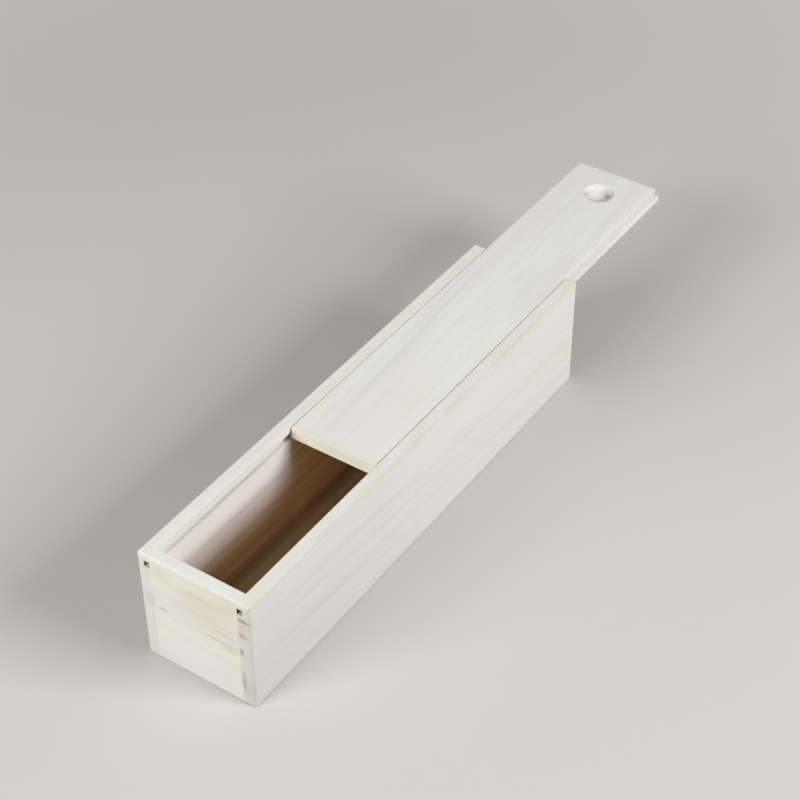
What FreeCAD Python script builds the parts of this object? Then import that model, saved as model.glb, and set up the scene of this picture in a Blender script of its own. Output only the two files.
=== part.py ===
import FreeCAD, Part
import os

from FreeCAD import Vector

# Long slim box of pale planed boards, with a lid that slides in grooves. Millimetres.
# +X runs along the box from the closed end to the open end, where the lid is drawn out,
# +Y points to the left side board and +Z up. The origin is the middle of the underside
# of the box without its lid. The lid is drawn partly pulled out.

# Carcass: two full-length side boards, with the end boards butted between them.
box_length = 403.5
box_width = 90.0
box_height = 93.0
side_thickness = 9.6
end_thickness = 9.8

# The bottom board is let in from below: a rabbet is routed round the foot of the walls
# after they are glued up, so its corners have the radius of the router bit.
bottom_thickness = 4.0
rabbet_depth = 5.0
router_bit_radius = 6.0
bottom_edge_gap = 0.25

# Lid: one board. Its long edges are rabbeted from above, which leaves the tongues below.
# When it is shut, its other end stands a little proud of the box, for a finger to catch.
lid_thickness = 9.8
tongue_thickness = 4.4
tongue_width = 3.5
lid_end_gap = 0.5
lid_overhang = 3.0
lid_drawn_out = 140.7

# Clearances: above and below a tongue in its groove, between the lips and the lid's
# upper part, and at the tips of the tongues, where the lid has room to swell.
groove_slack = 0.3
lip_gap = 0.6
tongue_tip_gap = 1.1

# Finger scoop: the hollow that a ball leaves, near the end that is pulled.
scoop_diameter = 25.0
scoop_depth = 4.5
scoop_from_end = 31.0

# The outside of the glued-up box is rounded in straight passes: most over the end grain
# of the rim, less down its corners, and least along the boards and round the foot.
rim_arris = 2.2
corner_arris = 1.8
outer_arris = 0.7

# The other edges are only broken with sandpaper.
inner_arris = 0.6
lid_arris = 0.4
lid_corner = 1.2
tongue_arris = 0.4
scoop_arris = 0.4

box_end = box_length / 2
box_side = box_width / 2
inner_end = box_end - end_thickness
inner_side = box_side - side_thickness
lid_underside = box_height - lid_thickness
lid_step = lid_underside + tongue_thickness
ledge_height = lid_underside - groove_slack
groove_top = lid_step + groove_slack
groove_depth = tongue_width - lip_gap + tongue_tip_gap
lid_length = box_length - end_thickness - lid_end_gap + lid_overhang
lid_start = lid_end_gap + lid_drawn_out - inner_end
lid_end = lid_start + lid_length


def board(x0, x1, y0, y1, z0, z1):
    """A planed board between two corners."""
    return Part.makeBox(x1 - x0, y1 - y0, z1 - z0, Vector(x0, y0, z0))


def extruded(outline, x0, x1):
    """A (y, z) outline drawn out along the box from x0 to x1."""
    corners = [Vector(x0, y, z) for y, z in outline]
    face = Part.Face(Part.makePolygon(corners + corners[:1]))
    return face.extrude(Vector(x1 - x0, 0, 0))


def near(a, b, tolerance=1e-6):
    """Whether two coordinates are the same but for rounding."""
    return abs(a - b) < tolerance


def rounded(shape, radius, wanted):
    """Rounds each edge whose middle point passes the test."""
    edges = [edge for edge in shape.Edges if wanted(edge.CenterOfMass)]
    return shape.makeFillet(radius, edges)


def shaving(start, stop, inward, radius):
    """What a pass with this radius takes off the straight edge between two corners."""
    far = stop + inward * radius
    xs, ys, zs = (sorted(pair) for pair in zip(start, far))
    waste = board(*xs, *ys, *zs)
    along = stop - start
    return waste.cut(Part.makeCylinder(radius, along.Length, start + inward * radius, along))


def sanded_outside():
    """The outline of the whole glued-up box without its lid, with its edges rounded."""
    shape = board(-box_end, box_end, -box_side, box_side, 0, box_height)
    passes = []
    for end in (-1, 1):
        x = end * box_end
        for z, up, radius in ((0, 1, outer_arris), (box_height, -1, rim_arris)):
            passes.append((Vector(x, -box_side, z), Vector(x, box_side, z), Vector(-end, 0, up), radius))
        for side in (-1, 1):
            y = side * box_side
            passes.append((Vector(x, y, 0), Vector(x, y, box_height), Vector(-end, -side, 0), corner_arris))
    for side in (-1, 1):
        y = side * box_side
        for z, up in ((0, 1), (box_height, -1)):
            passes.append((Vector(-box_end, y, z), Vector(box_end, y, z), Vector(0, -side, up), outer_arris))
    for edge in passes:
        shape = shape.cut(shaving(*edge))
    return shape


def let_in_board(edge_gap):
    """The bottom board's room in the rabbet, less a gap all round."""
    length = inner_end + rabbet_depth - edge_gap
    width = inner_side + rabbet_depth - edge_gap
    shape = board(-length, length, -width, width, 0, bottom_thickness)

    def on_corner(middle):
        return near(abs(middle.x), length) and near(abs(middle.y), width)

    return rounded(shape, router_bit_radius - edge_gap, on_corner)


def make_side_board():
    """The right side board, with the groove for the tongue along its inner face."""
    groove_back = inner_side + groove_depth
    outline = [
        (-box_side, 0),
        (-inner_side, 0),
        (-inner_side, ledge_height),
        (-groove_back, ledge_height),
        (-groove_back, groove_top),
        (-inner_side, groove_top),
        (-inner_side, box_height),
        (-box_side, box_height),
    ]
    shape = extruded(outline, -box_end, box_end).common(sanded_outside())
    lip_start = Vector(-inner_end, -inner_side, box_height)
    lip_stop = Vector(box_end, -inner_side, box_height)
    shape = shape.cut(shaving(lip_start, lip_stop, Vector(0, -1, -1), inner_arris))
    return shape.cut(let_in_board(0))


def make_end_board(side, top):
    """An end board between the side boards: side is -1 at the closed end, 1 at the open."""
    outer, inner = side * box_end, side * inner_end
    shape = board(min(outer, inner), max(outer, inner), -inner_side, inner_side, 0, top)
    shape = shape.common(sanded_outside())

    def on_top(middle):
        return near(middle.z, top) and (near(middle.x, inner) or near(middle.x, outer))

    return rounded(shape, inner_arris, on_top).cut(let_in_board(0))


def scooped(lid):
    """Hollows the scoop with a ball and breaks its rim."""
    rim_radius = scoop_diameter / 2
    ball_radius = (rim_radius ** 2 + scoop_depth ** 2) / (2 * scoop_depth)
    centre = Vector(lid_end - scoop_from_end, 0, box_height)
    ball = Part.makeSphere(ball_radius, centre + Vector(0, 0, ball_radius - scoop_depth))

    def on_rim(middle):
        return middle.isEqual(centre, rim_radius / 2)

    return rounded(lid.cut(ball), scoop_arris, on_rim)


def make_sliding_lid():
    """The lid: an upper part that fits between the lips, and a tongue along each side."""
    half = inner_side - lip_gap
    tip = half + tongue_width
    outline = [
        (-tip, lid_underside),
        (tip, lid_underside),
        (tip, lid_step),
        (half, lid_step),
        (half, box_height),
        (-half, box_height),
        (-half, lid_step),
        (-tip, lid_step),
    ]
    shape = extruded(outline, lid_start, lid_end)

    def on_pull_corner(middle):
        return near(middle.x, lid_end) and (near(abs(middle.y), half) or near(abs(middle.y), tip))

    def on_top(middle):
        return near(middle.z, box_height)

    def on_tongue(middle):
        return near(abs(middle.y), tip) and (near(middle.z, lid_underside) or near(middle.z, lid_step))

    shape = rounded(shape, lid_corner, on_pull_corner)
    shape = rounded(shape, lid_arris, on_top)
    shape = rounded(shape, tongue_arris, on_tongue)
    return scooped(shape)


def main():
    right = make_side_board()
    nodes = {
        "side_board_right": right,
        "side_board_left": right.mirror(Vector(0, 0, 0), Vector(0, 1, 0)),
        "closed_end_board": make_end_board(-1, box_height),
        "open_end_board": make_end_board(1, ledge_height),
        "bottom_board": let_in_board(bottom_edge_gap),
        "sliding_lid": make_sliding_lid(),
    }
    os.makedirs("parts", exist_ok=True)
    for name, shape in nodes.items():
        if not shape.isValid() or len(shape.Solids) != 1:
            raise ValueError(name + " is not one valid solid")
        shape.exportStep("parts/" + name + ".step")
        print(name, round(shape.Volume / 1000, 1), "cm3")


main()
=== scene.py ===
# %% [markdown]
# # A sliding lid box in whitened paulownia
#
# The box is six planed boards: two long side boards, two end boards, a bottom let in from
# below, and a lid whose tongues run in grooves. Its shapes come from the packed CAD model,
# so this lesson is about the wood: how a solid, three-dimensional grain is built from nodes
# and laid over each board the way it would lie in the tree.
#
# The CAD boards stay exactly where they are. Blender gives them their finish, and adds the
# floor, the light and the camera.

# %% Load the packed model as the fixed frame
import math

import bpy
from mathutils import Matrix, Vector

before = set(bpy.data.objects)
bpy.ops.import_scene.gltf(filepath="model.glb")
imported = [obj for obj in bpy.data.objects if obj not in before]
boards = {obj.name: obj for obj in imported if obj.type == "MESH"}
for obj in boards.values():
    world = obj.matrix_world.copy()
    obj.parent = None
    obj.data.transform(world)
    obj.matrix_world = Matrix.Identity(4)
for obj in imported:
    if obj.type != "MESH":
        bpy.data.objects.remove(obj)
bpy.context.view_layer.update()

print("boards:", ", ".join(sorted(boards)))

# %% [markdown]
# ## Colours
#
# A finish is judged by eye, and a hex colour is spaced the way the eye sees (sRGB). A renderer
# adds up light, so every shader wants the same colour in linear values. Those could be typed
# in, but nobody can hold them beside a sample of wood. So colours stay in hex throughout, and
# one function turns the one into the other.


# %% A hex colour in linear values
def linear(hex_colour):
    """'#rrggbb' as linear red, green, blue and an alpha of 1."""
    channels = [int(hex_colour[i:i + 2], 16) / 255 for i in (1, 3, 5)]
    return [c / 12.92 if c <= 0.04045 else ((c + 0.055) / 1.055) ** 2.4 for c in channels] + [1.0]


print("whitened wood:", [round(c, 3) for c in linear("#e3e0da")])

# %% [markdown]
# ## One way to add a node
#
# A material is a tree of nodes. Built in code, it soon fills with lines that make a node, set
# it and link it. A helper for each kind of node would hide which one is used, so one small
# function does those steps for any kind, and hands back the output that the next node needs.
# A hex colour is turned linear on its way in.


# %% Add one node
def add(tree, kind, settings=None, inputs=None, output=0):
    """Adds a node, sets it, fills or links its inputs, and returns one of its outputs."""
    node = tree.nodes.new("ShaderNode" + kind)
    for name, value in (settings or {}).items():
        setattr(node, name, value)
    for name, value in (inputs or {}).items():
        if isinstance(value, bpy.types.NodeSocket):
            tree.links.new(value, node.inputs[name])
        else:
            node.inputs[name].default_value = linear(value) if isinstance(value, str) else value
    return node.outputs[output] if node.outputs else node


print("add:", add.__doc__)

# %% [markdown]
# ## Grain space
#
# Wood grain isn't a picture on a face: it is a stack of growth layers round the pith of the
# tree, and each face of a board is a cut through it. A picture laid on each face would break
# at the edges, and the end grain would not belong to the sides. So the colour is worked out
# from the point's place in the trunk. X runs along the pith line, in millimetres, and each
# board has its own place and tilt there, as each was sawn from its own part of the tree.

# %% Coordinates measured from the pith
MM = 1000.0     # millimetres in a metre


def grain_space(tree, pith, turn):
    """The point in millimetres, with the fibres along X and the pith line at Y = Z = 0."""
    return add(tree, "Mapping", inputs={
        "Vector": add(tree, "TexCoord", output="Object"),
        "Location": [-v for v in pith],
        "Rotation": [math.radians(v) for v in turn],
        "Scale": (MM, MM, MM),
    })


print(f"grain space: {MM:.0f} units to the metre, one for each millimetre")

# %% [markdown]
# ## Patterns drawn out along the fibres
#
# Everything in wood is long and thin, because its cells are. Hand-drawn lines would repeat
# from board to board, while the Noise Texture never does. Its lumps are round and about one
# unit across, so dividing the place by a length along the fibres and a width across them draws
# each lump out to that size. The lengths and widths are those of real paulownia, with two
# exceptions: a vessel is a third of a millimetre wide and a fibre far thinner. At that width
# they would vanish, so vessels are drawn 0.7 mm wide, and fibres as bundles of 1.3 mm.

# %% Patterns: millimetres along the fibres, millimetres across, octaves of detail
pattern_sizes = {
    "bend": (260.0, 60.0, 2.0),     # how far the rings leave the round
    "streak": (220.0, 5.0, 2.0),    # streaks along the grain; they also fray the painted shade's edges
    "drift": (150.0, 24.0, 2.0),    # clouds of cooler and warmer white
    "fibre": (50.0, 1.3, 3.0),      # bundles of fibres
    "wear": (30.0, 8.0, 2.0),       # hand-rubbed stretches of an edge
    "patch": (26.0, 10.0, 2.0),     # yellowed stretches of an edge
    "vessel": (11.0, 0.7, 1.0),     # open vessels, cut lengthways
}
noise_middle = 0.5                  # a noise runs from 0 to 1 about this


def grain_patterns(tree, space):
    """Each named pattern as a noise in this board's grain space."""
    grain = {}
    for name, (along, across, detail) in pattern_sizes.items():
        cells = add(tree, "VectorMath", {"operation": "DIVIDE"},
                    {0: space, 1: (along, across, across)})
        grain[name] = add(tree, "TexNoise",
                          inputs={"Vector": cells, "Scale": 1.0, "Detail": detail})
    return grain


print("patterns, long and wide in mm:", {name: size[:2] for name, size in pattern_sizes.items()})

# %% [markdown]
# ## Masks and layers
#
# The real finish was laid on in layers: bleach, then years of hands and dust. The material
# does the same. A layer is a mask and a colour that is mixed in where the mask is bright. One
# colour ramp could hold all of it, but then no layer could be judged or changed by itself. A
# mask is 0 before its start and 1 past its end with a smooth step between, and where it has
# several conditions, their steps are multiplied.


# %% A mask, and a tint through it
def mask(tree, *conditions):
    """1 where every value is past its end, 0 where any value is short of its start."""
    product = None
    for value, start, end in conditions:
        step = add(tree, "MapRange", {"interpolation_type": "SMOOTHSTEP"},
                   {"Value": value, "From Min": start, "From Max": end})
        if product is not None:
            step = add(tree, "Math", {"operation": "MULTIPLY"}, {0: product, 1: step})
        product = step
    return product


def tint(tree, colour, where, other, amount=1.0):
    """colour moved towards other where the mask is bright, by amount at most."""
    factor = add(tree, "Math", {"operation": "MULTIPLY"}, {0: where, 1: amount})
    return add(tree, "Mix", {"data_type": "RGBA"}, {0: factor, 6: colour, 7: other}, 2)


quarters = (0, 0.25, 0.5, 0.75, 1)
print("a smooth step by quarters:", [round(t * t * (3 - 2 * t), 2) for t in quarters])

# %% [markdown]
# ## Clouds, fibres and vessels
#
# Bleach takes unevenly, so the white of a board drifts slowly between cool and warm. Over that
# lie the silky fibres, and the open vessels as short dark flecks. Grain could be drawn as
# lines of even strength, but planed paulownia is quiet: a faint layer for each pattern, with
# an amount of its own, keeps it so.

# %% Layers: pattern, where its mask starts and is full, colour, amount
clouds = [
    ("drift", 0.46, 0.66, "#e7e3e4", 0.60),
    ("drift", 0.50, 0.32, "#e9e6d9", 0.60),
]
silk = [
    ("fibre", 0.48, 0.75, "#cdc6bb", 0.19),
    ("vessel", 0.60, 0.76, "#b9ab99", 0.17),
]


def patterned(tree, colour, grain, layers):
    """colour with each layer's pattern laid over it."""
    for name, start, full, other, amount in layers:
        colour = tint(tree, colour, mask(tree, (grain[name], start, full)), other, amount)
    return colour


print("layers of grain:", len(clouds + silk))

# %% [markdown]
# ## Growth rings
#
# Paulownia grows fast, so its rings are wide: 6 to 20 mm. Each starts with a band of open
# vessels in spring and ends in a thin darker line in autumn. The Wave Texture has a ring mode,
# but all its rings are alike. So the distance from the pith is divided by the ring width,
# which counts the rings, and what is left after the whole rings tells how far through the year
# the wood was laid down. A slow noise bends the rings, as no trunk is round. Some years leave
# a clear line and others hardly any, so each ring draws a strength of its own from its number.

# %% Rings from the distance to the pith
ring_bend = 0.7                     # how far a ring leaves the round, in ring widths
line_power = 7.0                    # a higher power draws a thinner line
faint_year, clear_year = 0.1, 1.0   # strengths whose lines don't show, and show in full
autumn_wood = ("#b7a993", 0.15)


def autumn_lines(tree, space, bend, ring_width):
    """1 on the autumn edge of a strong ring, less on a weak one, 0 between the rings."""
    across = add(tree, "VectorMath", {"operation": "MULTIPLY"}, {0: space, 1: (0, 1, 1)})
    radius = add(tree, "VectorMath", {"operation": "LENGTH"}, {0: across}, "Value")
    bent = add(tree, "Math", {"operation": "MULTIPLY_ADD"},
               {0: bend, 1: ring_width * ring_bend, 2: radius})
    count = add(tree, "Math", {"operation": "DIVIDE"}, {0: bent, 1: ring_width})
    year = add(tree, "Math", {"operation": "FRACT"}, {0: count})
    line = add(tree, "Math", {"operation": "POWER"}, {0: year, 1: line_power})
    number = add(tree, "Math", {"operation": "FLOOR"}, {0: count})
    strength = add(tree, "TexWhiteNoise", {"noise_dimensions": "1D"}, {"W": number}, "Value")
    clear = mask(tree, (strength, faint_year, clear_year))
    return add(tree, "Math", {"operation": "MULTIPLY"}, {0: line, 1: clear})


print(f"an autumn line fills the last {1 - 0.5 ** (1 / line_power):.0%} of its ring")

# %% [markdown]
# ## End grain
#
# Where a board is cut across, its fibres are open like straws. They drink in light, bleach
# and dirt, so the end looks creamier. The end faces could have a material of their own, but
# the change would be a hard line along the rounded edge. The surface's own direction gives a
# soft one: the more it faces along the fibres, the more end grain shows. It is the direction
# in the board's own space, so it stays true when the lid moves.

# %% Which way the surface faces
end_starts, end_full = 0.55, 0.95   # how far it faces along the fibres, from 0 to 1


def axes(tree, vector):
    """The size of a vector along X, Y and Z."""
    size = add(tree, "VectorMath", {"operation": "ABSOLUTE"}, {0: vector})
    return list(add(tree, "SeparateXYZ", inputs={0: size}).node.outputs)


def end_grain(tree, fibre_axis):
    """1 on a surface that faces along the fibres, 0 along the grain."""
    facing = add(tree, "VectorMath", {"operation": "DOT_PRODUCT"},
                 {0: add(tree, "TexCoord", output="Normal"), 1: fibre_axis}, "Value")
    either_way = add(tree, "Math", {"operation": "ABSOLUTE"}, {0: facing})
    return mask(tree, (either_way, end_starts, end_full))


print(f"end grain shows from {math.degrees(math.acos(end_starts)):.0f} degrees off the fibres")

# %% [markdown]
# ## Regions of a board
#
# Painted light and shade, and the yellowed edges, each cover some places and not others. Those
# places could be painted by hand on the mesh, but paint is lost when a shape changes. So a region
# is a box in space: a list of limits, each an axis, where the mask is 0 and where it is 1, in
# millimetres. X and Y count from the middle of the box both ways, and Z from the ground. ALONG
# counts towards the open end, and RAGGED is a height. The streaks of the grain pull both back and
# forth, so the painted shade that fades along those two fades out in tongues along the fibres and
# not in a line.

# %% Distances along five axes, and the mask of a region
X, Y, Z, ALONG, RAGGED = range(5)
streaks_pull_along, streaks_pull_up = 15.0, 30.0    # from the furthest back to the furthest on


def distances(tree, streak):
    """How far the point lies along each of the five axes, in metres."""
    place = add(tree, "TexCoord", output="Object")
    sizes = axes(tree, place)
    pull = add(tree, "Math", {"operation": "SUBTRACT"}, {0: streak, 1: noise_middle})
    x = add(tree, "SeparateXYZ", inputs={0: place}, output="X")
    along = add(tree, "Math", {"operation": "MULTIPLY_ADD"},
                {0: pull, 1: streaks_pull_along / MM, 2: x})
    ragged = add(tree, "Math", {"operation": "MULTIPLY_ADD"},
                 {0: pull, 1: streaks_pull_up / MM, 2: sizes[Z]})
    return sizes + [along, ragged]


def region(tree, measures, limits):
    """1 inside the limits and 0 outside."""
    return mask(tree, *((measures[axis], start / MM, end / MM) for axis, start, end in limits))


between_ends = [(X, 192.5, 192.2), (Z, 3.0, 3.6)]   # and above the rabbet for the bottom
within_walls = (Y, 35.7, 35.5)                      # up to the side boards' inner faces
within_grooves = (Y, 39.7, 39.5)                    # up to the backs of the grooves
print(f"streaks move a fade within {streaks_pull_along:g} mm along and {streaks_pull_up:g} mm up")

# %% [markdown]
# ## Worn edges
#
# The boards' edges were rounded with a plane and have been held ever since. The rounding, or
# arris, is rubbed a little darker, more in some stretches than in others, and the top of the
# side boards has yellowed in patches. The Bevel node finds edges too, but only by casting many
# rays. Here the rounding is in the model, so a surface that faces along no axis is an arris.

# %% Rubbed arrises and yellowed upper edges
edge_starts, edge_full = 0.995, 0.93    # the largest part of the direction, 1 on a flat face
patchy = (0.38, 0.60)                   # where a stretch of wear starts, and is full
rubbed, darker = ("#d9d5ca", 0.50), ("#cdc8bb", 0.30)
yellow = "#e2e1c0"
upper_edge = [(Z, 82.0, 91.5)]


def arris(tree):
    """1 on the rounded edges, 0 on the flat faces."""
    parts = axes(tree, add(tree, "TexCoord", output="Normal"))
    larger = add(tree, "Math", {"operation": "MAXIMUM"}, {0: parts[X], 1: parts[Y]})
    largest = add(tree, "Math", {"operation": "MAXIMUM"}, {0: larger, 1: parts[Z]})
    return mask(tree, (largest, edge_starts, edge_full))


def handled_edges(tree, colour, grain, measures, yellowed):
    """colour with its edges rubbed, and its upper edge yellowed by an amount."""
    edge = arris(tree)
    stretches = mask(tree, (grain["wear"], *patchy))
    worn = add(tree, "Math", {"operation": "MULTIPLY"}, {0: edge, 1: stretches})
    colour = tint(tree, colour, edge, *rubbed)
    colour = tint(tree, colour, worn, *darker)
    patches = mask(tree, (grain["patch"], *patchy))
    old = add(tree, "Math", {"operation": "MULTIPLY"},
              {0: region(tree, measures, upper_edge), 1: patches})
    return tint(tree, colour, old, yellow, yellowed)


print(f"an arris starts {math.degrees(math.acos(edge_starts)):.1f} degrees off a flat face")

# %% [markdown]
# ## Painted light and shade inside
#
# Boxes like this are whitened after they are glued up, with bleach put on from outside. Inside,
# light and shade are painted into the colour. A pale wash near the rim is painted light, where the
# light falls on the inner faces. Further down it fades into painted shade: a streaky tan that
# darkens down the walls and is greyer on the bottom. The walls and grooves under the lid carry a
# painted shadow of the lid, a lighter tan. The underside of the lid has a honey tan of its own. The
# inside could be a second material, but the two have to run into each other along the grain. So
# each wash and each tan is a layer over a region of one material.

# %% Painted light near the rim, painted shade below it and under the lid, and the lid's honey underside
# where the painted shade inside lies: below the rim, full further down
deep_shade_region = between_ends + [within_walls, (RAGGED, 64.8, 18.7)]
# where the painted light near the rim lies: the inner faces below the rim
rim_light_region = between_ends + [within_grooves, (Z, 92.5, 92.0)]
# where the lid's shadow falls inside: towards the open end, below the lid
lid_shadow_region = between_ends + [(ALONG, -60.0, -42.0), within_grooves, (Z, 88.4, 88.0)]
lid_underside = [(Z, 83.6, 83.3)]
# painted light: a pale wash over the inner faces near the rim, where the light falls on them
painted_rim_light = (rim_light_region, "#f3eeec", 0.45)
# painted shade: a streaky tan that darkens down the inner walls
painted_wall_shade = (deep_shade_region, "#dcb78a", "#caa377")
# painted shade on the bottom board, greyer than on the walls
painted_floor_shade = (deep_shade_region, "#c7ad81", "#b69a70")
# painted shadow of the lid on the walls and grooves under it
painted_lid_shadow = (lid_shadow_region, "#eac698", "#d7b183")
honey = (lid_underside, "#d9b488", "#c8a075")
rim = 93.0
# the painted shade starts this far below the rim and is full this far down
shade_starts, shade_full = deep_shade_region[-1][1:]
print(f"the bleach fades from {rim - shade_starts:.0f} to {rim - shade_full:.0f} mm below the rim")

# %% [markdown]
# ## How the painted light and a tan are laid on
#
# The painted light near the rim is thin and even, so one colour laid over its region is enough. The
# painted shade, laid on the same way, would look like brown paint, because the grain below it would
# be hidden. So a tan brings grain of its own: streaks of a light and a dark tone, and darker
# fibres.

# %% Washes and tans
dark_streaks = (0.36, 0.64)     # where a dark streak starts, and is full
dark_fibres = ("fibre", 0.45, 0.75, "#ab8763", 0.30)


def washed_light_and_shade(tree, colour, measures, washes):
    """colour with one even wash over each region."""
    for limits, other, amount in washes:
        colour = tint(tree, colour, region(tree, measures, limits), other, amount)
    return colour


def streaky_tans_and_shade(tree, colour, grain, measures, tans_and_painted_shade):
    """colour, and in each region a streaky tan in its place: painted shade, except the lid's honey
    underside.
    """
    for limits, light, dark in tans_and_painted_shade:
        tan = patterned(tree, light, grain, [("streak", *dark_streaks, dark, 1.0), dark_fibres])
        colour = tint(tree, colour, region(tree, measures, limits), tan)
    return colour


# the tan laid on here is painted shade, except on the lid's underside
print("bare wood:", streaky_tans_and_shade.__doc__)

# %% [markdown]
# ## Marks
#
# A box that has been handled and stood about has a few marks: a resin spot, a glue line that
# has drawn dirt, a year that was stained before the bleach. They could be painted on an
# image, but a mark in space carries on round an edge, as a real one that has soaked in does.
# Each is an oval that shows where the wood's surface cuts it. A small noise, drawn out along
# the box, makes its outline uneven.

# %% An oval mark in the wood
wobble_long, wobble_wide = 40.0, 6.25   # the size of a bump in the outline, in millimetres
wobble_reach = 3.0                      # from the furthest bump in to the furthest bump out


def uneven_place(tree):
    """The point on the board, pushed about by a millimetre or so."""
    place = add(tree, "TexCoord", output="Object")
    per_metre = [MM / size for size in (wobble_long, wobble_wide, wobble_wide)]
    cells = add(tree, "VectorMath", {"operation": "MULTIPLY"}, {0: place, 1: per_metre})
    noise = add(tree, "TexNoise", inputs={"Vector": cells, "Scale": 1.0, "Detail": 2.0},
                output="Color")
    push = add(tree, "VectorMath", {"operation": "SUBTRACT"}, {0: noise, 1: (noise_middle,) * 3})
    return add(tree, "VectorMath", {"operation": "MULTIPLY_ADD"},
               {0: push, 1: (wobble_reach / MM,) * 3, 2: place})


def marked(tree, colour, marks):
    """colour with each mark fading out from its middle: tone, amount, middle, half size, tilt."""
    place = uneven_place(tree)
    for other, amount, middle, half_size, tilt in marks:
        oval = add(tree, "Mapping", {"vector_type": "TEXTURE"}, {
            "Vector": place,
            "Location": [v / MM for v in middle],
            "Rotation": [math.radians(v) for v in tilt],
            "Scale": [v / MM for v in half_size],
        })
        inside = add(tree, "TexGradient", {"gradient_type": "SPHERICAL"}, {"Vector": oval}, 1)
        colour = tint(tree, colour, inside, other, amount)
    return colour


print(f"a mark's outline wanders by up to {wobble_reach / 2:g} mm either way")

# %% [markdown]
# ## Painted shade in corners and groove mouths
#
# Shade is painted into the colour where it falls in hollows: along the bottom's corners, in the
# mouths of the grooves, and on the lid's upright cheeks in the corners of its rabbets. Ambient
# occlusion could darken every corner by itself, but it would also darken the ones that stay light.
# These are even washes over regions, laid on last.

# %% Washes of painted shade
bottom_corner = between_ends + [(Y, 25.0, 35.4), within_walls, (Z, 15.0, 4.0)]
groove_mouth = [(X, 187.0, 199.0), (Y, 35.1, 35.3), within_grooves,
                (Z, 83.0, 83.6), (Z, 88.2, 88.0)]
lid_cheek = [(Y, 34.5, 34.8), (Y, 35.4, 35.0), (Z, 87.2, 87.5), (Z, 92.4, 90.5)]
# painted shade along the foot of the inner walls, where the bottom meets them
painted_corner_shade = (bottom_corner, "#5e4226", 0.40)
# painted shade in the mouths of the grooves at the ends, stronger on the right, fainter on the left
groove_mouth_shade = (groove_mouth, "#46392b", 0.90)
faint_groove_mouth_shade = (groove_mouth, "#46392b", 0.60)
# painted shade on the lid's upright cheeks, in the corner of each rabbet
painted_cheek_shade = (lid_cheek, "#b6aaa5", 0.38)
# the darkening printed here is painted shade in the groove mouths
print("dust in the grooves:", groove_mouth_shade[-1], "on the right,", faint_groove_mouth_shade[-1], "on the left")

# %% [markdown]
# ## A dry, silky surface
#
# Sanding leaves paulownia's soft fibres and vessels slightly open, so the wood feels dry and
# has no shine, only a soft sheen between the fibres. The relief is under a tenth of a
# millimetre. Cut into the mesh it would need millions of faces, so a Bump node bends the
# shading instead. The same fibres make the surface duller where they stand up.

# %% Relief and dryness
relief_strength, relief_depth = 0.2, 0.3    # depth in millimetres
fibre_height = 0.5                          # against 1 for the vessels
smoothest, driest = 0.55, 0.72              # roughness of sanded, unvarnished wood
wood_ior = 1.5                              # about that of cellulose


def dry_surface(tree, colour, grain):
    """The wood's shader: bare, sanded, with the fibres and vessels a little open."""
    height = add(tree, "Math", {"operation": "MULTIPLY_ADD"},
                 {0: grain["fibre"], 1: fibre_height, 2: grain["vessel"]})
    relief = add(tree, "Bump", inputs={
        "Strength": relief_strength, "Distance": relief_depth / MM, "Height": height})
    dryness = add(tree, "MapRange", inputs={
        "Value": grain["fibre"], "To Min": smoothest, "To Max": driest})
    return add(tree, "BsdfPrincipled", inputs={
        "Base Color": colour, "Roughness": dryness, "IOR": wood_ior, "Normal": relief})


print(f"roughness {smoothest} to {driest}, bumps {relief_depth} mm at strength {relief_strength}")

# %% [markdown]
# ## Whitened paulownia
#
# Now the layers come together: the clouded white, the years and the silk of the grain, end grain
# and worn edges, the painted light near the rim inside and the painted shade below it and under the
# lid, with the lid's honey underside, marks, and last the painted shade in the corners. Six
# materials could be built by hand, but the boards are of one wood. One function makes them all, and
# what differs between them is its arguments.


# %% The wood
def paulownia(name, fibre_axis, pith, turn, ring_width, pale, ends, yellowed=0.0,
              painted_light_washes=(painted_rim_light,), tans_and_painted_shade=(painted_wall_shade, painted_lid_shadow), marks=(),
              painted_shade_washes=(painted_corner_shade, groove_mouth_shade)):
    """Whitened paulownia, planed and sanded: a pale, dry, silky wood with a faint open grain."""
    material = bpy.data.materials.new(name)
    material.use_nodes = True
    tree = material.node_tree
    tree.nodes.clear()
    space = grain_space(tree, pith, turn)
    grain = grain_patterns(tree, space)
    measures = distances(tree, grain["streak"])
    colour = patterned(tree, pale, grain, clouds)
    years = autumn_lines(tree, space, grain["bend"], ring_width)
    colour = tint(tree, colour, years, *autumn_wood)
    colour = patterned(tree, colour, grain, silk)
    colour = tint(tree, colour, end_grain(tree, fibre_axis), *ends)
    colour = handled_edges(tree, colour, grain, measures, yellowed)
    # painted light: the pale wash near the rim inside
    colour = washed_light_and_shade(tree, colour, measures, painted_light_washes)
    # painted shade: the streaky tan down the walls, on the bottom and under the lid; on the lid,
    # its honey underside
    colour = streaky_tans_and_shade(tree, colour, grain, measures, tans_and_painted_shade)
    colour = marked(tree, colour, marks)
    # painted shade in the corners, the groove mouths and the lid's cheeks
    colour = washed_light_and_shade(tree, colour, measures, painted_shade_washes)
    add(tree, "OutputMaterial", inputs={"Surface": dry_surface(tree, colour, grain)})
    return material


print("paulownia:", paulownia.__doc__)

# %% [markdown]
# ## The marks on the closed end
#
# Most marks are on the closed end: the end board's warm upper half and its own dark years, a
# resin spot, and the glue lines beside it, which have drawn dirt. Two dark years of the right
# board come out through its end grain. They could come from the rings alone, but rings that
# suit the whole board fall where they will, and these few are what tells this box from others.

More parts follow.
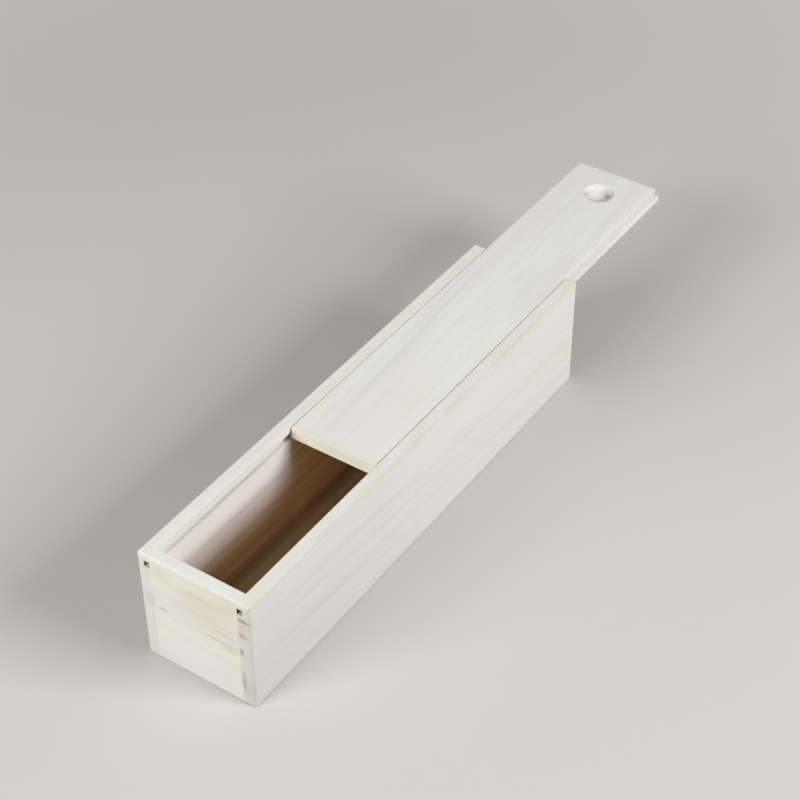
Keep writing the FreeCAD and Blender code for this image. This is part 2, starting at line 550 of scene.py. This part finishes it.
# %% Marks on the ends: colour, amount, middle, half size, tilt, in millimetres and degrees
end_x = -201.75     # the closed end's outer face
level = (0, 0, 0)
closed_end_marks = [
    ("#dccba8", 0.45, (end_x, -10, 68), (4, 36, 30), level),            # warm upper half
    ("#e6e8ea", 0.60, (end_x, 8, 20), (4, 36, 24), level),              # cool lower half
    ("#b39c78", 0.24, (end_x, -5, 77.5), (4, 26, 5.0), (-2, 0, 0)),     # a broad dark year
    ("#ac9470", 0.42, (end_x, -24, 55.8), (4, 16, 1.8), (1, 0, 0)),     # two thin ones
    ("#ac9470", 0.38, (end_x, -15, 47.6), (4, 14, 2.0), (3, 0, 0)),
    ("#96805f", 0.70, (end_x, 27.5, 49.8), (3, 4.6, 1.6), (10, 0, 0)),  # resin spot
    ("#b0a89a", 0.35, (end_x, 35.5, 55), (4, 3.0, 11), level),          # glue lines
    ("#b0a89a", 0.35, (end_x, -35.5, 35), (4, 1.4, 60), level),
    ("#d3c5a6", 0.40, (end_x, 27, 83), (4, 14, 9), level),              # handled corners
    ("#d3c5a6", 0.40, (end_x, -28, 83), (4, 14, 9), level),
    ("#bfae8e", 0.40, (end_x, -28, 46), (4, 10, 7), level),             # shadow of the years
    ("#e2eeee", 0.55, (-197, 0, 94), (7, 60, 5), level),                # cool white upper edge
]
right_end_marks = [
    ("#85794f", 1.00, (end_x, -39.6, 78.4), (12, 7.5, 2.6), (8, 0, 0)),  # two dark years
    ("#94805a", 0.80, (end_x, -38.2, 64.3), (12, 5.5, 3.2), (6, 0, 0)),
    ("#6b4c38", 0.72, (end_x, -36.8, 48.6), (4, 2.3, 4.6), level),       # dirt on the glue line
    ("#8a8078", 0.66, (end_x, -36.6, 20.0), (4, 2.8, 14), level),
    ("#b79c88", 0.35, (end_x, -40.5, 14), (5, 7, 14), level),            # browned foot
    ("#c9b692", 0.35, (end_x, -38.0, 70), (9, 4.0, 14), level),          # halo of the years
]
left_end_marks = [("#a9a49c", 0.25, (end_x, 38.5, 54), (5, 6.5, 9), level)]     # grey smudge
print("marks on the closed end:", len(closed_end_marks + right_end_marks + left_end_marks))

# %% [markdown]
# ## The marks along the side boards
#
# The right board greys towards its near end and its foot, wide years run slanting along its outer
# face, and its outer edge is worn. The left board shows its inner face, where the bleach stood
# thick or ran off in broad streaks, with a darker line along the groove's lower edge, and a painted
# shadow of the lid's near corner in its groove. A noise could draw streaks, but these are too few
# and too long for one, so they are ovals as well.

# %% Marks on the side boards
right_board_marks = right_end_marks + [
    ("#cbc7c7", 0.45, (-230, -45, 15), (270, 14, 100), level),      # greyed near end
    ("#b3a48e", 0.26, (-75, -45, 66), (75, 5, 3.0), (0, 5.5, 0)),   # wide years
    ("#b3a48e", 0.20, (-140, -45, 55), (60, 5, 2.4), (0, 5.0, 0)),
    ("#b3a48e", 0.24, (-120, -45, 33), (85, 5, 3.2), (0, 5.0, 0)),
    ("#b3a48e", 0.18, (-30, -45, 46), (80, 5, 2.6), (0, 4.0, 0)),
    ("#b4ada2", 0.50, (60, -45, 93), (330, 1.8, 1.8), level),       # worn outer edge
]
left_board_marks = left_end_marks + [
    ("#2a1c10", 1.00, (-49.5, 37.5, 84.0), (9, 6, 4), level),       # painted shadow of the lid's near corner in the groove
    ("#fbf5f2", 0.50, (-128, 35.4, 67.5), (90, 4, 8.0), level),     # thick bleach
    ("#9d9491", 0.40, (-122, 35.4, 82.9), (160, 1.6, 1.8), level),  # a darker line along the groove's lower edge
    ("#b09478", 0.30, (-120, 35.4, 59.3), (170, 4, 3.6), level),    # broad streaks
    ("#f0e4da", 0.25, (-120, 35.4, 53.5), (170, 4, 4.0), level),
    ("#8f6d4c", 0.32, (-110, 35.4, 38.6), (170, 4, 3.6), level),
]
print("marks on the side boards:", len(right_board_marks), "right,", len(left_board_marks), "left")

# %% [markdown]
# ## The marks on the lid
#
# The lid is the board that hands touch most. It has one long dark year, a little out of true
# with its edges, a yellowed near edge, and a right edge rubbed pale towards the pulled end.
# The scoop has a brownish soiled rim, and painted shade: darkest on its wall that faces away from
# the light, with a grey spot at its other end. The painted shade could follow the scoop's depth,
# but it is placed one by one.

# %% Marks on the lid
lid_x = -50.75      # the lid's near end
lid_marks = [
    ("#e6dcdf", 0.45, (-20, 0, 93), (110, 50, 5), level),           # pinkish near half
    ("#e4dcc0", 0.40, (lid_x, 0, 93), (7, 60, 4), level),           # yellowed near edge
    ("#eee2dc", 0.50, (lid_x, 27, 89), (2, 16, 7), level),          # pale end grain
    ("#2e2218", 1.00, (lid_x, 37.3, 86.2), (3, 3.2, 5), level),     # painted shadow on the tongue's end inside the groove
    ("#9f9f94", 0.16, (95, 20.2, 93), (190, 1.8, 4), (0, 0, 2.4)),  # the long dark year
    ("#b5ac9c", 0.14, (20, 15.0, 93), (110, 2.6, 4), (0, 0, 2.4)),
    ("#f6f6f2", 0.50, (300, -32.6, 93.4), (120, 3.8, 2.6), level),  # edge rubbed pale
    ("#fbf2ea", 0.60, (310, -37.6, 86.5), (80, 2.2, 3.5), level),   # tongue rubbed pale
    ("#b59f70", 0.50, (320, -4.5, 89.8), (6, 8, 5), level),         # soiled scoop
    # painted shade in the scoop: its wall that faces away from the light, and a grey spot at its
    # other end
    ("#6e6249", 0.80, (318.4, -6.6, 90.0), (3, 3.5, 2.5), level),
    ("#8f908f", 0.60, (309.6, 9.2, 91.5), (4, 3, 3), level),
]
print("marks on the lid:", len(lid_marks))

# %% [markdown]
# ## The side boards' finish
#
# Both side boards have their fibres along the box. The pith of the right board's tree lay
# below it, so its years lie flat in its end grain. The left one was sawn nearer the pith,
# which lay above and outside it. One shared material would be simpler, but then the years
# would run on from board to board, and the box would look carved from one block. So each
# board gets a pith and a turn of its own.

# %% Side boards: turn in degrees, pith in millimetres along the turned axes
along_box, across_box = (1, 0, 0), (0, 1, 0)
finishes = {}
finishes["side_board_right"] = paulownia(
    "planed_whitened_paulownia_right", along_box, pith=(0, 20, -190), turn=(0, -4.5, 0.4),
    ring_width=13.0, pale="#e9e7e5", ends=("#d3cbb6", 0.50), yellowed=0.5,
    marks=right_board_marks)
finishes["side_board_left"] = paulownia(
    "planed_whitened_paulownia_left", along_box, pith=(900, 130, 160), turn=(0, -0.8, 0.5),
    ring_width=12.0, pale="#ebe9e2", ends=("#dcd7cc", 0.55), yellowed=0.1,
    marks=left_board_marks, painted_shade_washes=(painted_corner_shade, faint_groove_mouth_shade))
print("side boards:", ", ".join(finish.name for finish in finishes.values()))

# %% [markdown]
# ## The end boards' finish
#
# The end boards are short, and their fibres run across the box. They could be turned by
# turning the mesh, but a board never moves here. A quarter turn of grain space does the same.
# Both come from one plank, so they share all but their place in it and their marks.

# %% End boards
cream_ends = ("#dcd6c0", 0.40)
end_board = {"fibre_axis": across_box, "turn": (0, 0, -90), "ring_width": 13.0,
             "pale": "#eae8d8", "ends": cream_ends}
finishes["closed_end_board"] = paulownia(
    "planed_whitened_paulownia_closed_end", pith=(300, 290, -120), marks=closed_end_marks,
    **end_board)
finishes["open_end_board"] = paulownia(
    "planed_whitened_paulownia_open_end", pith=(600, -290, -120), **end_board)
print("end boards: rings", end_board["ring_width"], "mm wide")

# %% [markdown]
# ## The bottom's and the lid's finish
#
# The lid is the showpiece, so the maker chose a board cut almost along the radius, whose rings run
# in near-straight lines. Its underside was never bleached and keeps a honey tan, and the lid gets
# none of the painted light of the inner walls. The bottom has a painted shade, greyer than the
# walls'. Both could share the side boards' finish, but then the inside would be one even brown.

# %% Bottom and lid
finishes["bottom_board"] = paulownia(
    "planed_whitened_paulownia_bottom", along_box, pith=(1500, 20, -160), turn=(0, 0.4, 1.0),
    ring_width=12.0, pale="#e7e3d8", ends=cream_ends, tans_and_painted_shade=(painted_floor_shade,))
finishes["sliding_lid"] = paulownia(
    "planed_whitened_paulownia_lid", along_box, pith=(2100, -160, 60), turn=(0, 0.5, -2.4),
    ring_width=12.0, pale="#e9ece6", ends=("#ddd6be", 0.60), painted_light_washes=(), tans_and_painted_shade=(honey,),
    marks=lid_marks, painted_shade_washes=(painted_cheek_shade,))
print("finishes so far:", len(finishes))

# %% [markdown]
# ## Dressing the boards
#
# Each board comes from the CAD model with a plain finish. It could be replaced by a copy that
# wears the wood, but its shape is already right. So only the material changes hands.

# %% Lay each finish on its board
for node_name, finish in finishes.items():
    board = boards[node_name]
    board.data.materials.clear()
    board.data.materials.append(finish)
    print(f"{node_name}: {finish.name}, {len(finish.node_tree.nodes)} nodes")

# %% [markdown]
# ## The plain background
#
# Behind the box there is nothing but pale paper. A brighter world would make the background
# white, but would also flood the box with light. The Light Path node keeps the two apart: it
# tells what the eye sees, directly or in a reflection, from what only lights things, so the
# background's look and the light it gives are set separately.

# %% What the eye sees, directly or in a reflection
warm_white, background_level = "#fffdfa", 0.62


def seen_by_eye(tree):
    """1 for what the camera sees, directly, in gloss or through glass, and 0 for lighting."""
    rays = add(tree, "LightPath").node.outputs
    direct_or_gloss = add(tree, "Math", {"operation": "MAXIMUM"},
                          {0: rays["Is Camera Ray"], 1: rays["Is Glossy Ray"]})
    return add(tree, "Math", {"operation": "MAXIMUM"},
               {0: direct_or_gloss, 1: rays["Is Transmission Ray"]})


print(f"background: {warm_white} at a level of {background_level}")

# %% [markdown]
# ## Floor
#
# The box stands on a large, flat sheet, which carries its shadow. A backdrop that curves up
# behind the box would hide the horizon from one side only. A flat sheet can hide it from every
# side, if its paper fades into the plain background some way out.

# %% Floor
reach = 6.0     # half its side, in metres
floor_mesh = bpy.data.meshes.new("floor")
corners = [(-reach, -reach, 0), (reach, -reach, 0), (reach, reach, 0), (-reach, reach, 0)]
floor_mesh.from_pydata(corners, [], [(0, 1, 2, 3)])
floor = bpy.data.objects.new("floor", floor_mesh)
bpy.context.scene.collection.objects.link(floor)
print(f"floor: {2 * reach:g} m square")

# %% [markdown]
# ## Matte paper
#
# Matte paper is rough all over, so it shows a soft shadow and no gloss. To the eye it is pale.
# To the light it could be just as pale, but then it would light the foot of the box from
# below. So it gives back as much as a mid grey, and the boards keep their shading. Its fade
# into the background is for the eye only: the light that it gives back is the same all over.

# %% Paper
grey_to_light, pale_to_eye = "#6e6c69", "#cfccc8"
paper_roughness = 0.9
fade_starts, fade_full = 0.45, 1.5      # metres from the middle of the box
paper = bpy.data.materials.new("matte_grey_paper")
paper.use_nodes = True
tree = paper.node_tree
tree.nodes.clear()
colour = tint(tree, grey_to_light, seen_by_eye(tree), pale_to_eye)
matte = add(tree, "BsdfPrincipled", inputs={"Base Color": colour, "Roughness": paper_roughness})
distance = add(tree, "VectorMath", {"operation": "LENGTH"},
               {0: add(tree, "TexCoord", output="Object")}, "Value")
far_off = add(tree, "Math", {"operation": "MULTIPLY"},
              {0: mask(tree, (distance, fade_starts, fade_full)), 1: seen_by_eye(tree)})
plain = add(tree, "Emission", inputs={"Color": warm_white, "Strength": background_level})
sweep = add(tree, "MixShader", inputs={0: far_off, 1: matte, 2: plain})
add(tree, "OutputMaterial", inputs={"Surface": sweep})
floor.data.materials.append(paper)
print(f"paper: {paper.name}, plain background from {fade_full} m out")

# %% [markdown]
# ## Light
#
# Light from one side, as from a window, shows an open box best: the inner wall opposite is
# lit only near its rim, and the inside of the near one stays in shade. A sun lamp would cut
# hard shadows, so a large, low softbox stands beside the box and rakes across it. A second
# one lights the closed end.

# %% Softboxes: the way to each from the box, side in metres, power in watts
softboxes = {
    "key_softbox": ((0.15, -0.86, 0.5), 1.1, 52.0),
    "end_softbox": ((-0.87, 0.25, 0.42), 1.4, 48.5),
}
softbox_distance = 2.5
lit_point = Vector((0.05, 0, 0.05))     # inside the box, towards its open end
for lamp_name, (way, side, power) in softboxes.items():
    lamp = bpy.data.lights.new(lamp_name, "AREA")
    lamp.energy = power
    lamp.size = side
    softbox = bpy.data.objects.new(lamp_name, lamp)
    bpy.context.scene.collection.objects.link(softbox)
    away = Vector(way).normalized()
    softbox.location = lit_point + away * softbox_distance
    softbox.rotation_euler = away.to_track_quat("Z", "Y").to_euler()
    print(f"{lamp_name}: {side} m wide, {power} W, {softbox_distance} m away")

# %% [markdown]
# ## Sky
#
# In a room, light also comes back from every wall, and fills the shadows without a direction.
# More lamps could do that, but each would add a shadow of its own. A dim, even world does it
# with none, and the eye sees the plain background in its place.

# %% Sky
sky_level = 0.24
world = bpy.data.worlds.new("sky")
bpy.context.scene.world = world
world.use_nodes = True
tree = world.node_tree
background = tree.nodes["Background"]
background.inputs["Color"].default_value = linear(warm_white)
strength = add(tree, "MapRange", inputs={
    "Value": seen_by_eye(tree), "To Min": sky_level, "To Max": background_level})
tree.links.new(strength, background.inputs["Strength"])
print(f"sky: {sky_level} to the box, {background_level} to the eye")

# %% [markdown]
# ## Camera
#
# The camera stands a good metre from the closed end, to its right, and looks down on it at
# about 40 degrees, so that the end, one side, the lid and the inside all show. A wide lens
# close by would splay the box. This long one keeps its edges near parallel. The place and
# direction are set as numbers, not by a tracking constraint, so they can be read and kept.

# %% Camera
camera_place = (-0.79765, -0.56602, 0.93156)
looking = Vector((0.62841, 0.42932, -0.64868))
roll = Matrix.Rotation(math.radians(-0.314), 3, "Z")
camera_data = bpy.data.cameras.new("camera")
camera_data.sensor_width = 36.0
camera_data.lens = 83.5
camera = bpy.data.objects.new("camera", camera_data)
bpy.context.scene.collection.objects.link(camera)
camera.location = camera_place
camera.rotation_euler = (looking.to_track_quat("-Z", "Y").to_matrix() @ roll).to_euler()
bpy.context.scene.camera = camera
bpy.context.scene.view_settings.view_transform = "Standard"
print(f"camera: looks down {math.degrees(math.asin(-looking.normalized().z)):.1f} degrees,",
      f"{math.degrees(camera_data.angle):.1f} degrees wide")

# %% [markdown]
# ## Sizes
#
# The finish must not change the box's size.
